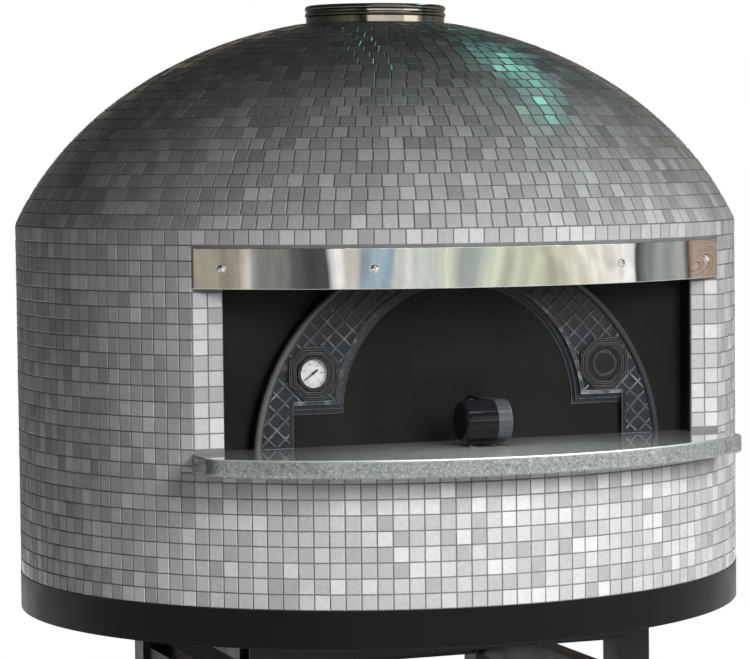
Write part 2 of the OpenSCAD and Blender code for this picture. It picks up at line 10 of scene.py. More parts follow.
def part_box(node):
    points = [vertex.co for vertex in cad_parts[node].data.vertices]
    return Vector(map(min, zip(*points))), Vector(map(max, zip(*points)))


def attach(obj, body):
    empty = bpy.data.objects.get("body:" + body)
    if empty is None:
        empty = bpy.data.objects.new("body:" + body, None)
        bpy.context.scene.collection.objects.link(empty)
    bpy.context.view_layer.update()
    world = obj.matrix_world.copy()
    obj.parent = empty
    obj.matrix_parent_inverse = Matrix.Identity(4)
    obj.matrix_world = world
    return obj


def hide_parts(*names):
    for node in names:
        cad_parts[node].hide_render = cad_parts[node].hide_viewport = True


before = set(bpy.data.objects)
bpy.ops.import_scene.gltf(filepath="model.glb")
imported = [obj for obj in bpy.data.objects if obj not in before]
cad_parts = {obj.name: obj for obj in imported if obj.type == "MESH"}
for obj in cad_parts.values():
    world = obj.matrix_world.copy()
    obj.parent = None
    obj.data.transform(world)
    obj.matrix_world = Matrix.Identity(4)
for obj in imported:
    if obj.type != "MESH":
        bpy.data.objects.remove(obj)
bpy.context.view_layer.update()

# Camera: it stands left of the mouth, a little above the line where the dome
# starts, and looks slightly down at the drum.
photo_wide, photo_high, focal_px = 750, 659, 3048.0
eye = Vector((-1.7605, -5.105, 1.625))
heading, pitch, roll = math.radians(22.812), math.radians(3.21), math.radians(-0.43)
axis_x, axis_y = 580.0, 325.9
camera_data = bpy.data.cameras.new("camera")
camera_data.sensor_width = 36.0
camera_data.lens = camera_data.sensor_width * focal_px / photo_wide
camera_data.shift_x = (photo_wide / 2 - axis_x) / photo_wide
camera_data.shift_y = (axis_y - photo_high / 2) / photo_wide


def add_object(name, data):
    """Puts a mesh, a lamp or a camera into the scene."""
    made = bpy.data.objects.new(name, data)
    bpy.context.scene.collection.objects.link(made)
    return made


camera = add_object("camera", camera_data)
turn = (
    Matrix.Rotation(-heading, 3, "Z")
    @ Matrix.Rotation(math.pi / 2 - pitch, 3, "X")
    @ Matrix.Rotation(roll, 3, "Z")
)
camera.matrix_world = Matrix.Translation(eye) @ turn.to_4x4()
bpy.context.scene.camera = camera
bpy.context.scene.view_settings.view_transform = "Standard"


# Stand: square steel tubes welded into a frame with base plates, sprayed with
# satin black paint. The welded plate that carries the drum has the same paint.
def node_of(tree, kind, **values):
    """Adds a node of that kind and sets its properties and input sockets."""
    node = tree.nodes.new(kind)
    for key, value in values.items():
        if key in node.inputs:
            node.inputs[key].default_value = value
        else:
            setattr(node, key, value)
    return node


def start_material(name, colour, roughness, metallic=0.0, **sockets):
    """A material with one Principled shader. Returns (material, tree, shader)."""
    material = bpy.data.materials.new(name)
    material.use_nodes = True
    tree = material.node_tree
    shader = tree.nodes["Principled BSDF"]
    shader.inputs["Base Color"].default_value = (*colour, 1.0)
    shader.inputs["Roughness"].default_value = roughness
    shader.inputs["Metallic"].default_value = metallic
    for socket, value in sockets.items():
        shader.inputs[socket.replace("_", " ")].default_value = value
    return material, tree, shader


def group_with(name, ins, outs):
    """An empty shader group. ins and outs are [(name, socket type, default)]."""
    group = bpy.data.node_groups.new(name, "ShaderNodeTree")
    for label, kind, value in ins:
        socket = group.interface.new_socket(label, in_out="INPUT", socket_type=kind)
        socket.default_value = value
    for label, kind, _ in outs:
        group.interface.new_socket(label, in_out="OUTPUT", socket_type=kind)
    return group, group.nodes.new("NodeGroupInput"), group.nodes.new("NodeGroupOutput")


# Cloudy mask from low to high, in metres of the oven's own frame
patches, patches_in, patches_out = group_with(
    "patches",
    [("Scale", "NodeSocketFloat", 20.0), ("Low", "NodeSocketFloat", 0.4), ("High", "NodeSocketFloat", 0.6)],
    [("Mask", "NodeSocketFloat", 0.0)],
)
place = node_of(patches, "ShaderNodeTexCoord")
cloud = node_of(patches, "ShaderNodeTexNoise", Detail=6.0, Roughness=0.6)
spread = node_of(patches, "ShaderNodeMapRange")
patches.links.new(place.outputs["Object"], cloud.inputs["Vector"])
patches.links.new(patches_in.outputs["Scale"], cloud.inputs["Scale"])
patches.links.new(cloud.outputs["Fac"], spread.inputs["Value"])
patches.links.new(patches_in.outputs["Low"], spread.inputs["From Min"])
patches.links.new(patches_in.outputs["High"], spread.inputs["From Max"])
patches.links.new(spread.outputs["Result"], patches_out.inputs["Mask"])

# Mask of convex edges: rubbed bright by hands and cloths on most parts, a painted highlight on the arch
rubbed, edge_group_in, edge_group_out = group_with(
    "rubbed_edges",
    [("Radius", "NodeSocketFloat", 0.002), ("Reach", "NodeSocketFloat", 0.25)],
    [("Mask", "NodeSocketFloat", 0.0)],
)
rounded = node_of(rubbed, "ShaderNodeBevel", samples=6)
sharp = node_of(rubbed, "ShaderNodeNewGeometry")
meet = node_of(rubbed, "ShaderNodeVectorMath", operation="DOT_PRODUCT")
fade = node_of(rubbed, "ShaderNodeMapRange")
fade.inputs["From Min"].default_value = 1.0
rest = node_of(rubbed, "ShaderNodeMath", operation="SUBTRACT")
rest.inputs[0].default_value = 1.0
rubbed.links.new(edge_group_in.outputs["Radius"], rounded.inputs["Radius"])
rubbed.links.new(edge_group_in.outputs["Reach"], rest.inputs[1])
rubbed.links.new(rounded.outputs["Normal"], meet.inputs[0])
rubbed.links.new(sharp.outputs["Normal"], meet.inputs[1])
rubbed.links.new(meet.outputs["Value"], fade.inputs["Value"])
rubbed.links.new(rest.outputs["Value"], fade.inputs["From Max"])
rubbed.links.new(fade.outputs["Result"], edge_group_out.inputs["Mask"])


def add_group(tree, group, **values):
    """Adds one of the shared groups and sets its inputs."""
    node = tree.nodes.new("ShaderNodeGroup")
    node.node_tree = group
    for key, value in values.items():
        node.inputs[key].default_value = value
    return node


# The numbers of a Mix node's colour sockets: two that go in and one that comes out
first_colour, second_colour, mixed_colour = 6, 7, 2


def blend_colour(tree, mask, first, second, shader, socket="Base Color"):
    """Mixes two colours, or two values, by a mask into the shader's socket."""
    if socket == "Base Color":
        mix = node_of(tree, "ShaderNodeMix", data_type="RGBA")
        for at, colour in ((first_colour, first), (second_colour, second)):
            if isinstance(colour, tuple):
                mix.inputs[at].default_value = (*colour, 1.0)
            else:
                tree.links.new(colour, mix.inputs[at])
        tree.links.new(mask, mix.inputs[0])
        tree.links.new(mix.outputs[mixed_colour], shader.inputs[socket])
        return mix.outputs[mixed_colour]
    spread = node_of(tree, "ShaderNodeMapRange")
    spread.inputs["To Min"].default_value = first
    spread.inputs["To Max"].default_value = second
    tree.links.new(mask, spread.inputs["Value"])
    tree.links.new(spread.outputs["Result"], shader.inputs[socket])
    return spread.outputs["Result"]


def grain_bump(tree, shader, scale, depth, strength=0.5, detail=3.0):
    """Fine noise relief of that many grains a metre, depth in metres."""
    place = node_of(tree, "ShaderNodeTexCoord")
    noise = node_of(tree, "ShaderNodeTexNoise", Scale=scale, Detail=detail)
    bump = node_of(tree, "ShaderNodeBump", Strength=strength, Distance=depth)
    tree.links.new(place.outputs["Object"], noise.inputs["Vector"])
    tree.links.new(noise.outputs["Fac"], bump.inputs["Height"])
    tree.links.new(bump.outputs["Normal"], shader.inputs["Normal"])


def dress(material, *names):
    """Gives carried-over solids a material in place of the plain one."""
    for name in names:
        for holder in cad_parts[name].material_slots:
            holder.material = material


stand_paint, tree, shader = start_material("stand_paint", (0.009, 0.009, 0.010), 0.42, Specular_IOR_Level=0.3)
clouds = add_group(tree, patches, Scale=14.0, Low=0.35, High=0.7)
edges = add_group(tree, rubbed, Radius=0.0015, Reach=0.3)
blend_colour(tree, edges.outputs["Mask"], (0.009, 0.009, 0.010), (0.035, 0.035, 0.036), shader)
blend_colour(tree, clouds.outputs["Mask"], 0.36, 0.5, shader, "Roughness")
grain_bump(tree, shader, 900.0, 0.0002)
corners = [f"{end}_{side}" for end in ("front", "back") for side in ("left", "right")]
sides = ("front", "back", "left", "right")
dress(
    stand_paint,
    *[f"foot_plate_{c}" for c in corners],
    *[f"leg_{c}" for c in corners],
    *[f"rail_{s}" for s in sides],
    *[f"top_rail_{s}" for s in sides],
    "base_plate",
)

# Base ring: a rolled steel band round the foot of the drum, painted black, that
# holds the lowest row of the mosaic.
ring_paint, tree, shader = start_material("ring_paint", (0.005, 0.005, 0.006), 0.34, Specular_IOR_Level=0.15)
clouds = add_group(tree, patches, Scale=9.0, Low=0.3, High=0.75)
edges = add_group(tree, rubbed, Radius=0.002, Reach=0.3)
blend_colour(tree, edges.outputs["Mask"], (0.005, 0.005, 0.006), (0.035, 0.036, 0.04), shader)
blend_colour(tree, clouds.outputs["Mask"], 0.28, 0.42, shader, "Roughness")
grain_bump(tree, shader, 500.0, 0.0002)
dress(ring_paint, "base_ring")

# Hearth: light concrete fill, an insulating board, four floor slabs and a cast
# refractory vault with its tunnel, under a ceramic fibre blanket.
light_concrete, tree, shader = start_material("light_concrete", (0.36, 0.33, 0.28), 0.9)
clouds = add_group(tree, patches, Scale=25.0, Low=0.35, High=0.65)
blend_colour(tree, clouds.outputs["Mask"], (0.30, 0.27, 0.23), (0.42, 0.39, 0.34), shader)
grain_bump(tree, shader, 220.0, 0.002, detail=6.0)
dress(light_concrete, "base_fill")

board, tree, shader = start_material("insulating_board", (0.58, 0.54, 0.45), 0.95)
clouds = add_group(tree, patches, Scale=60.0, Low=0.3, High=0.7)
blend_colour(tree, clouds.outputs["Mask"], (0.52, 0.48, 0.40), (0.66, 0.62, 0.53), shader)
grain_bump(tree, shader, 400.0, 0.0008)
dress(board, "insulation_board")

blanket, tree, shader = start_material("fibre_blanket", (0.74, 0.73, 0.69), 1.0, Sheen_Weight=0.3)
clouds = add_group(tree, patches, Scale=35.0, Low=0.3, High=0.7)
blend_colour(tree, clouds.outputs["Mask"], (0.66, 0.65, 0.61), (0.80, 0.79, 0.76), shader)
grain_bump(tree, shader, 300.0, 0.003, detail=8.0)
dress(blanket, "vault_blanket")

firebrick, tree, shader = start_material("firebrick", (0.44, 0.34, 0.24), 0.88)
clouds = add_group(tree, patches, Scale=18.0, Low=0.3, High=0.7)
pale = blend_colour(tree, clouds.outputs["Mask"], (0.36, 0.27, 0.19), (0.50, 0.40, 0.29), shader)
soot = add_group(tree, patches, Scale=4.0, Low=0.45, High=0.75)
blend_colour(tree, soot.outputs["Mask"], pale, (0.10, 0.08, 0.07), shader)
grain_bump(tree, shader, 350.0, 0.0015, detail=6.0)
dress(
    firebrick,
    "vault",
    "mouth_tunnel",
    *[f"floor_slab_{c}" for c in corners],
)

# Casing: rolled and pressed steel sheet under the mosaic, with an inside flange
# where drum and dome meet. It shows only inside the recess.
shell_steel, tree, shader = start_material("shell_steel", (0.030, 0.030, 0.032), 0.5, metallic=0.3)
clouds = add_group(tree, patches, Scale=10.0, Low=0.35, High=0.65)
blend_colour(tree, clouds.outputs["Mask"], (0.022, 0.022, 0.024), (0.045, 0.043, 0.042), shader)
grain_bump(tree, shader, 600.0, 0.0003)
dress(shell_steel, "drum_wall_lower", "drum_wall_upper", "dome_shell", "shell_flange")

# Mosaic: glazed stone tiles of a 25 mm pitch in four greys, pressed by hand into
# grey grout. The drum has straight columns, the dome staggered rows.
mm = 0.001
drum_lo, drum_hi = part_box("drum_mosaic")
collar_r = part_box("flue_collar")[1].x
sill_lo, sill_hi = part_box("sill")
band_lo, band_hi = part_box("lintel_band")
drum_r, kink_z, drum_z = drum_hi.x, drum_hi.z, drum_lo.z
pitch_m, joint = 25 * mm, 2.1 * mm
mouth_y = 429 * mm
half_chord = math.sqrt(drum_r**2 - mouth_y**2)
tile_rise, tile_root, tile_bevel = 1.1 * mm, 1.4 * mm, 0.8 * mm
smallest_cut = 7 * mm
four_greys, grey_shares, grey_spread = (0.1, 0.38, 0.66, 0.92), (20, 42, 24, 14), 0.07
lean_angle, twist_angle = 0.014, 0.006
tile_points = 12
dice = random.Random(58)

grout, tree, shader = start_material("grout", (0.22, 0.223, 0.222), 0.9)
clouds = add_group(tree, patches, Scale=12.0, Low=0.3, High=0.7)
blend_colour(tree, clouds.outputs["Mask"], (0.17, 0.173, 0.173), (0.26, 0.263, 0.26), shader)
grain_bump(tree, shader, 1500.0, 0.0004)
dress(grout, "drum_mosaic", "dome_mosaic")


def colour_ramp(tree, value, stops, interpolation="LINEAR"):
    """Maps a value to colours. stops is [(position, colour)]."""
    ramp = node_of(tree, "ShaderNodeValToRGB")
    ramp.color_ramp.interpolation = interpolation
    while len(ramp.color_ramp.elements) < len(stops):
        ramp.color_ramp.elements.new(0.5)
    for element, (at, colour) in zip(ramp.color_ramp.elements, stops):
        element.position = at
        element.color = (*colour, 1.0)
    tree.links.new(value, ramp.inputs["Fac"])
    return ramp.outputs["Color"]


glaze, tree, shader = start_material("mosaic_glaze", (0.5, 0.5, 0.5), 0.3)
shade = node_of(tree, "ShaderNodeAttribute", attribute_name="shade")
greys = [(0.0, 0.40), (0.3, 0.49), (0.55, 0.565), (0.8, 0.65), (1.0, 0.725)]
cool_greys = [(at, (grey * 0.985, grey * 0.995, grey * 1.01)) for at, grey in greys]
glazes = colour_ramp(tree, shade.outputs["Fac"], cool_greys)
clouds = add_group(tree, patches, Scale=130.0, Low=0.3, High=0.75)
veined = node_of(tree, "ShaderNodeMix", data_type="RGBA", blend_type="MULTIPLY")
veined.inputs[second_colour].default_value = (0.84, 0.85, 0.86, 1.0)
tree.links.new(clouds.outputs["Mask"], veined.inputs[0])
tree.links.new(glazes, veined.inputs[first_colour])
tree.links.new(veined.outputs[mixed_colour], shader.inputs["Base Color"])
satin = node_of(tree, "ShaderNodeMapRange")
satin.inputs["To Min"].default_value = 0.13
satin.inputs["To Max"].default_value = 0.42
finish = node_of(tree, "ShaderNodeAttribute", attribute_name="finish")
tree.links.new(finish.outputs["Fac"], satin.inputs["Value"])
tree.links.new(satin.outputs["Result"], shader.inputs["Roughness"])
grain_bump(tree, shader, 160.0, 0.0006, strength=0.35)


def lay_tiles(name, places):
    """One mesh of closed tiles. A place is (middle, right, up, half width, half height)."""
    middle = np.array([p[0] for p in places])
    right = np.array([p[1] for p in places])
    up = np.array([p[2] for p in places])
    wide = np.array([p[3] for p in places])[:, None, None]
    high = np.array([p[4] for p in places])[:, None, None]
    out = np.cross(right, up)
    # Each tile is pressed in a little askew, so each catches the light its own way
    askew = (lean_angle, lean_angle, twist_angle)
    lean = np.array([[dice.gauss(0, angle) for angle in askew] for _ in places])
    right = right + lean[:, :1] * out + lean[:, 2:] * up
    up = up + lean[:, 1:2] * out - lean[:, 2:] * right
    corner = np.array([(-1, -1), (1, -1), (1, 1), (-1, 1)])
    rings = []
    for inset, rise in ((0.0, -tile_root), (0.0, tile_rise - tile_bevel / 2), (tile_bevel, tile_rise)):
        a = corner[None, :, :1] * (wide - inset)
        b = corner[None, :, 1:] * (high - inset)
        rings.append(middle[:, None] + a * right[:, None] + b * up[:, None] + rise * out[:, None])
    points = np.concatenate(rings, axis=1).reshape(-1, 3)
    faces = [(3, 2, 1, 0), (8, 9, 10, 11)]
    for low in (0, 4):
        faces += [(low + k, low + (k + 1) % 4, low + 4 + (k + 1) % 4, low + 4 + k) for k in range(4)]
    start = np.arange(len(places))[:, None, None] * tile_points
    faces = (np.array(faces)[None] + start).reshape(-1, 4)
    mesh = bpy.data.meshes.new(name)
    mesh.from_pydata(points.tolist(), [], faces.tolist())
    for label in ("shade", "finish"):
        values = []
        for _ in places:
            value = dice.random() if label == "finish" else dice.choices(four_greys, grey_shares)[0]
            values += [value + dice.uniform(-grey_spread, grey_spread)] * tile_points
        mesh.attributes.new(label, "FLOAT", "POINT").data.foreach_set("value", values)
    mesh.materials.append(glaze)
    tiles = add_object(name, mesh)
    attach(tiles, "oven")


def drum_tile(angle, z, wide, high):
    """A place on the drum. The angle is from -Y toward +X."""
    out = np.array([math.sin(angle), -math.cos(angle), 0.0])
    right = np.array([math.cos(angle), math.sin(angle), 0.0])
    return (out * drum_r + np.array([0, 0, z]), right, np.array([0, 0, 1.0]), wide / 2, high / 2)


columns, first_joint = 158, math.radians(-53.76)
step = math.tau / columns
corner_angle = math.asin(half_chord / drum_r)
rows = round((kink_z - drum_z) / pitch_m)
# The drum's tiles are four meshes, parted at these angles from the middle of the front
front_ends, back_starts = 0.8, 2.35
quarter = {"front": [], "left": [], "right": [], "back": []}
for row in range(rows):
    low, high = drum_z + row * pitch_m, drum_z + (row + 1) * pitch_m
    for column in range(columns):
        a0 = first_joint + column * step
        a1 = a0 + step
        if a0 > math.pi:
            a0, a1 = a0 - math.tau, a1 - math.tau
        pieces = [(a0, a1, low, high)]
        if a1 > -corner_angle and a0 < corner_angle and high > sill_lo.z and low < band_hi.z:
            below = (a0, a1, low, min(high, sill_lo.z))
            above = (a0, a1, max(low, band_hi.z), high)
            beside_left = (a0, min(a1, -corner_angle), max(low, sill_lo.z), high)
            beside_right = (max(a0, corner_angle), a1, max(low, sill_lo.z), high)
            pieces = [below, above, beside_left, beside_right]
        for b0, b1, z0, z1 in pieces:
            wide, tall = (b1 - b0) * drum_r - joint, z1 - z0 - joint
            if wide < smallest_cut or tall < smallest_cut:
                continue
            middle = (b0 + b1) / 2
            wrapped = (middle + math.pi) % math.tau - math.pi
            side = "left" if wrapped < 0 else "right"
            if abs(wrapped) < front_ends:
                side = "front"
            elif abs(wrapped) > back_starts:
                side = "back"
            quarter[side].append(drum_tile(middle, (z0 + z1) / 2, wide, tall))
for side, places in quarter.items():
    lay_tiles(f"drum_tiles_{side}", places)

jamb_wide = 50 * mm
jambs = []
for sign in (-1, 1):
    for row in range(rows):
        z0 = max(drum_z + row * pitch_m, sill_hi.z)
        z1 = min(drum_z + (row + 1) * pitch_m, band_lo.z)
        if z1 - z0 - joint < smallest_cut:
            continue
        for k in range(2):
            x = sign * (half_chord - jamb_wide + (k + 0.5) * pitch_m)
            spot = np.array([x, -mouth_y, (z0 + z1) / 2])
            half_tile = ((pitch_m - joint) / 2, (z1 - z0 - joint) / 2)
            jambs.append((spot, np.array([1.0, 0, 0]), np.array([0, 0, 1.0]), *half_tile))
lay_tiles("jamb_tiles", jambs)

# The dome's outline is part of an ellipse, dome_b high from a middle that lies dome_c
# under the drum's edge. Its rows are even steps along it.
dome_c = 196 * mm
dome_b = 551 * mm
dome_a = drum_r / math.sqrt(1 - (dome_c / dome_b) ** 2)
fine = np.linspace(math.asin(dome_c / dome_b), math.pi / 2, 4000)
line = np.stack([dome_a * np.cos(fine), kink_z + dome_b * np.sin(fine) - dome_c], axis=1)
length = np.concatenate([[0], np.cumsum(np.linalg.norm(np.diff(line, axis=0), axis=1))])
dome_rings, lower_rows = {"lower": [], "upper": []}, 12
row = 0
while True:
    middle = (row + 0.5) * pitch_m
    t = float(np.interp(middle, length, fine))
    r, z = dome_a * math.cos(t), kink_z + dome_b * math.sin(t) - dome_c
    end_r = float(np.interp(middle + pitch_m / 2, length, line[:, 0]))
    if end_r < collar_r + 1 * mm:
        break
    slope = np.array([-dome_a * math.sin(t), dome_b * math.cos(t)])
    slope /= np.linalg.norm(slope)
    count = round(math.tau * r / pitch_m)
    shift = dice.random() if row else 0.5
    wide = math.tau * r / count - joint
    for k in range(count):
        angle = (k + shift) * math.tau / count
        out = np.array([math.sin(angle), -math.cos(angle), 0.0])
        right = np.array([math.cos(angle), math.sin(angle), 0.0])
        up = out * slope[0] + np.array([0, 0, slope[1]])
        spot = out * r + np.array([0, 0, z])
        half = "lower" if row < lower_rows else "upper"
        dome_rings[half].append((spot, right, up, wide / 2, (pitch_m - joint) / 2))
    row += 1
for half, places in dome_rings.items():
    lay_tiles(f"dome_tiles_{half}", places)

# Mouth: folded steel posts behind the tiled jambs and a black panel that closes
# the recess, all in the same matt black paint.
mouth_paint, tree, shader = start_material("mouth_paint", (0.012, 0.012, 0.012), 0.6, Specular_IOR_Level=0.12)
clouds = add_group(tree, patches, Scale=7.0, Low=0.35, High=0.7)
blend_colour(tree, clouds.outputs["Mask"], (0.010, 0.010, 0.010), (0.015, 0.015, 0.014), shader)
grain_bump(tree, shader, 1200.0, 0.0002)
dress(mouth_paint, "mouth_panel", "recess_ceiling", "jamb_post_left", "jamb_post_right", "lintel_bar")

# Band over the mouth: polished stainless steel sheet rolled to the drum's curve
# and held by four screws. Hand rolling leaves soft waves in its mirror.
mirror_steel, tree, shader = start_material("mirror_steel", (0.80, 0.79, 0.77), 0.05, metallic=1.0)
place = node_of(tree, "ShaderNodeTexCoord")
stretch = node_of(tree, "ShaderNodeMapping")
stretch.inputs["Scale"].default_value = (5.0, 5.0, 8.0)
waves = node_of(tree, "ShaderNodeTexNoise", Scale=1.0, Detail=0.0)
bump = node_of(tree, "ShaderNodeBump", Strength=0.45, Distance=0.014)
cut_edge = node_of(tree, "ShaderNodeBevel", samples=6)
cut_edge.inputs["Radius"].default_value = 0.0016
tree.links.new(cut_edge.outputs["Normal"], bump.inputs["Normal"])
tree.links.new(place.outputs["Object"], stretch.inputs["Vector"])
tree.links.new(stretch.outputs["Vector"], waves.inputs["Vector"])
tree.links.new(waves.outputs["Fac"], bump.inputs["Height"])
tree.links.new(bump.outputs["Normal"], shader.inputs["Normal"])
smears = add_group(tree, patches, Scale=22.0, Low=0.45, High=0.8)
blend_colour(tree, smears.outputs["Mask"], 0.015, 0.07, shader, "Roughness")
dress(mirror_steel, "lintel_band")

screw_steel, tree, shader = start_material("screw_steel", (0.72, 0.71, 0.69), 0.2, metallic=1.0)
clouds = add_group(tree, patches, Scale=300.0, Low=0.3, High=0.7)
blend_colour(tree, clouds.outputs["Mask"], 0.14, 0.3, shader, "Roughness")
dress(screw_steel, "band_screws", "arch_bolts", "grip_bolt", "thermometer_probe")

# Sill: one slab of polished grey-green granite with eased edges and rounded front
# corners, cut to an arc and set between the jambs.
granite, tree, shader = start_material("granite", (0.2, 0.22, 0.21), 0.09)
place = node_of(tree, "ShaderNodeTexCoord")
coarse = node_of(tree, "ShaderNodeTexVoronoi", Scale=260.0, Randomness=1.0)
fine_specks = node_of(tree, "ShaderNodeTexVoronoi", Scale=620.0, Randomness=1.0)
tree.links.new(place.outputs["Object"], coarse.inputs["Vector"])
tree.links.new(place.outputs["Object"], fine_specks.inputs["Vector"])


def ramp_mask(tree, value, at_zero, at_one):
    """Goes from 0 to 1 as the value goes between the two."""
    ramp = node_of(tree, "ShaderNodeMapRange")
    ramp.inputs["From Min"].default_value = at_zero
    ramp.inputs["From Max"].default_value = at_one
    tree.links.new(value, ramp.inputs["Value"])
    return ramp.outputs["Result"]


def speckle(tree, cells, stops):
    """Maps the random value of each cell to one of a stone's grain colours."""
    split = node_of(tree, "ShaderNodeSeparateColor")
    tree.links.new(cells.outputs["Color"], split.inputs["Color"])
    return colour_ramp(tree, split.outputs["Red"], stops, "CONSTANT")


def axes_of(tree, vector):
    """The outputs X, Y and Z of a vector."""
    split = node_of(tree, "ShaderNodeSeparateXYZ")
    tree.links.new(vector, split.inputs["Vector"])
    return split.outputs


def combined(tree, first, second, operation="MULTIPLY"):
    """The product of two masks, or what another operation makes of them."""
    maths = node_of(tree, "ShaderNodeMath", operation=operation)
    tree.links.new(first, maths.inputs[0])
    tree.links.new(second, maths.inputs[1])
    return maths.outputs["Value"]


ground = speckle(
    tree,
    coarse,
    [
        (0.0, (0.13, 0.142, 0.14)),
        (0.16, (0.21, 0.228, 0.226)),
        (0.5, (0.255, 0.277, 0.273)),
        (0.82, (0.35, 0.378, 0.37)),
    ],
)
grains = speckle(
    tree,
    fine_specks,
    [
        (0.0, (0.06, 0.065, 0.065)),
        (0.08, (0.195, 0.213, 0.21)),
        (0.55, (0.265, 0.288, 0.283)),
        (0.92, (0.48, 0.51, 0.50)),
    ],
)
clouds = add_group(tree, patches, Scale=90.0, Low=0.35, High=0.65)
stone = blend_colour(tree, clouds.outputs["Mask"], ground, grains, shader)
# Painted highlight: the eased front edge is painted paler than the flat faces, and palest in the middle of
# the front
edge_from, edge_to = (0.35, 0.6), (0.97, 0.88)
arris_glint_from, arris_glint_to = (-260 * mm, -130 * mm), (400 * mm, 200 * mm)
facing = node_of(tree, "ShaderNodeNewGeometry")
upward = axes_of(tree, facing.outputs["Normal"])["Z"]
across_sill = axes_of(tree, place.outputs["Object"])["X"]
arris_highlight = combined(tree, ramp_mask(tree, upward, *edge_from), ramp_mask(tree, upward, *edge_to))
arris_glint = combined(tree, arris_highlight, ramp_mask(tree, across_sill, *arris_glint_from))
arris_glint = combined(tree, arris_glint, ramp_mask(tree, across_sill, *arris_glint_to))
pale_arris_stone = blend_colour(tree, arris_highlight, stone, (0.30, 0.32, 0.315), shader)
blend_colour(tree, arris_glint, pale_arris_stone, (0.52, 0.55, 0.54), shader)
shader.inputs["Coat Weight"].default_value = 1.0
shader.inputs["Coat Roughness"].default_value = 0.03
dress(granite, "sill")

# The slab's outline, from the middle of the front to the back and round again
nose, end_round = 4.5 * mm, 45 * mm
sill_r, shelf = -sill_lo.y, sill_hi.x
tongue, shelf_back = 444.3 * mm, -mouth_y - 0.3 * mm
round_x = shelf - end_round
round_y = -math.sqrt((sill_r - end_round) ** 2 - round_x**2)
turn_end = math.atan2(round_x, -round_y)
corner_parts, arc_parts = 12, 160
front_line = []
for k in range(corner_parts + 1):
    a = math.pi / 2 + (turn_end - math.pi / 2) * k / corner_parts
    front_line.append((round_x + end_round * math.sin(a), round_y - end_round * math.cos(a)))
for k in range(1, arc_parts):
    a = turn_end * (1 - k / arc_parts)
    front_line.append((sill_r * math.sin(a), -sill_r * math.cos(a)))
back_line = [(tongue, sill_hi.y), (tongue, shelf_back), (shelf, shelf_back), (shelf, shelf_back - 0.5 * mm)]
right_side = back_line + front_line
plan = np.array([(-x, y) for x, y in right_side] + [(0.0, -sill_r)] + right_side[::-1])
ahead = np.roll(plan, -1, axis=0) - plan
ahead /= np.linalg.norm(ahead, axis=1)[:, None]
inward = np.stack([-ahead[:, 1], ahead[:, 0]], axis=1)
miter = inward + np.roll(inward, 1, axis=0)
miter *= (2 / (miter**2).sum(axis=1))[:, None]
miter[plan[:, 1] > shelf_back - 1e-6] = 0
slab_points, steps = [], 8
for k in range(2 * steps + 2):
    a = math.pi / 2 * (k if k <= steps else 2 * steps + 1 - k) / steps
    eased = nose * (1 - math.cos(a))
    z = sill_hi.z - eased if k <= steps else sill_lo.z + eased
    ring = plan + miter * nose * (1 - math.sin(a))
    slab_points += [(x, y, z) for x, y in ring]
count = len(plan)
slab_faces = [tuple(range(count)), tuple(range(len(slab_points) - count, len(slab_points)))[::-1]]
for k in range(2 * steps + 1):
    for i in range(count):
        j = (i + 1) % count
        slab_faces.append(((k + 1) * count + i, (k + 1) * count + j, k * count + j, k * count + i))
slab_mesh = bpy.data.meshes.new("sill_slab")
slab_mesh.from_pydata(slab_points, [], slab_faces)
slab_mesh.polygons.foreach_set("use_smooth", [len(f) == 4 for f in slab_faces])
slab_mesh.materials.append(granite)
sill_slab = add_object("sill_slab", slab_mesh)
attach(sill_slab, "oven")
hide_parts("sill")

# Arch: cast iron, blued black, with a ribbed field, stepped inner mouldings, a
# half-round rim and an octagonal boss on each leg. Its rib tops and edges are
# painted pale, partly wear and partly painted highlight; its top is painted
# dark as painted shade, and its rim has a painted highlight at the left.
iron, tree, shader = start_material("cast_iron", (0.022, 0.026, 0.034), 0.42, metallic=0.35)
centre_drop = 28 * mm
rib_foot, rib_head = -413.3 * mm, -413.8 * mm
rim_foot, rim_head = -413.5 * mm, -415.5 * mm
boss_foot, boss_head = -415.2 * mm, -415.8 * mm
rim_r, rim_fade = 344 * mm, 0.5 * mm
top_shade_from, top_shade_full = 1310 * mm, 1400 * mm
rim_highlight_from, rim_highlight_full = -200 * mm, -320 * mm
place = node_of(tree, "ShaderNodeTexCoord")
iron_at = axes_of(tree, place.outputs["Object"])
arch_centre = node_of(tree, "ShaderNodeCombineXYZ")
arch_centre.inputs["Z"].default_value = sill_hi.z - centre_drop
flat = node_of(tree, "ShaderNodeCombineXYZ")
tree.links.new(iron_at["X"], flat.inputs["X"])
tree.links.new(iron_at["Z"], flat.inputs["Z"])
radius = node_of(tree, "ShaderNodeVectorMath", operation="DISTANCE")
tree.links.new(flat.outputs["Vector"], radius.inputs[0])
tree.links.new(arch_centre.outputs["Vector"], radius.inputs[1])
clouds = add_group(tree, patches, Scale=110.0, Low=0.4, High=0.62)
worn = add_group(tree, patches, Scale=38.0, Low=0.5, High=0.72)
edges = add_group(tree, rubbed, Radius=0.0012, Reach=0.35)
rib_top = ramp_mask(tree, iron_at["Y"], rib_foot, rib_head)
boss_top = ramp_mask(tree, iron_at["Y"], boss_foot, boss_head)
outer_rim = ramp_mask(tree, radius.outputs["Value"], rim_r - rim_fade, rim_r + rim_fade)
# The rib tops are painted pale in patches: partly wear, partly painted highlight
worn_and_highlit_ribs = combined(tree, rib_top, worn.outputs["Mask"])
dull = blend_colour(tree, clouds.outputs["Mask"], (0.007, 0.009, 0.013), (0.026, 0.031, 0.042), shader)
dull = blend_colour(tree, rib_top, dull, (0.032, 0.036, 0.044), shader)
dull = blend_colour(tree, worn_and_highlit_ribs, dull, (0.34, 0.35, 0.38), shader)
dull = blend_colour(tree, boss_top, dull, (0.005, 0.005, 0.006), shader)
